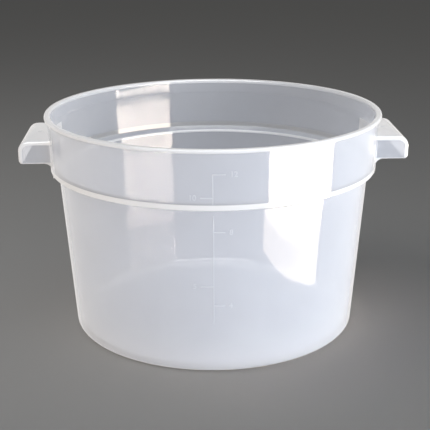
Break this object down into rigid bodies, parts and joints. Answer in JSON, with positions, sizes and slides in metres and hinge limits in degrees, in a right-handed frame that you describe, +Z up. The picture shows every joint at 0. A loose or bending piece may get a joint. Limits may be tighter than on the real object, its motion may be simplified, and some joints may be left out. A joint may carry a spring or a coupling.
{
  "type": "round food container",
  "caption": "Open round food container in milky translucent plastic, with a thick rolled rim, a sloping ledge, a tapered wall, hollow side handles and a raised measuring scale.",
  "frame": {"origin": "centre of the face that the container stands on", "axes": "+Z up through the open mouth; +X towards the right handle; the measuring scale faces -Y"},
  "size_m": [0.3604, 0.3174, 0.2079],
  "materials": {
    "thin_plastic": "milky translucent polypropylene, glossy",
    "thick_plastic": "milky translucent polypropylene, whiter where it is thick",
    "raised_scale": "milky translucent polypropylene, raised"
  },
  "bodies": {
    "root": {"base_floor": "thin_plastic", "lower_wall": "thin_plastic", "upper_band": "thin_plastic", "handle_left": "thin_plastic", "handle_right": "thin_plastic", "foot_ring": "thick_plastic", "stacking_ledge": "thick_plastic", "rim": "thick_plastic", "lower_stem": "raised_scale", "upper_stem": "raised_scale", "mark_4_quarts": "raised_scale", "mark_8_quarts": "raised_scale", "mark_12_quarts": "raised_scale", "mark_5_litres": "raised_scale", "mark_10_litres": "raised_scale"}
  },
  "joints": []
}
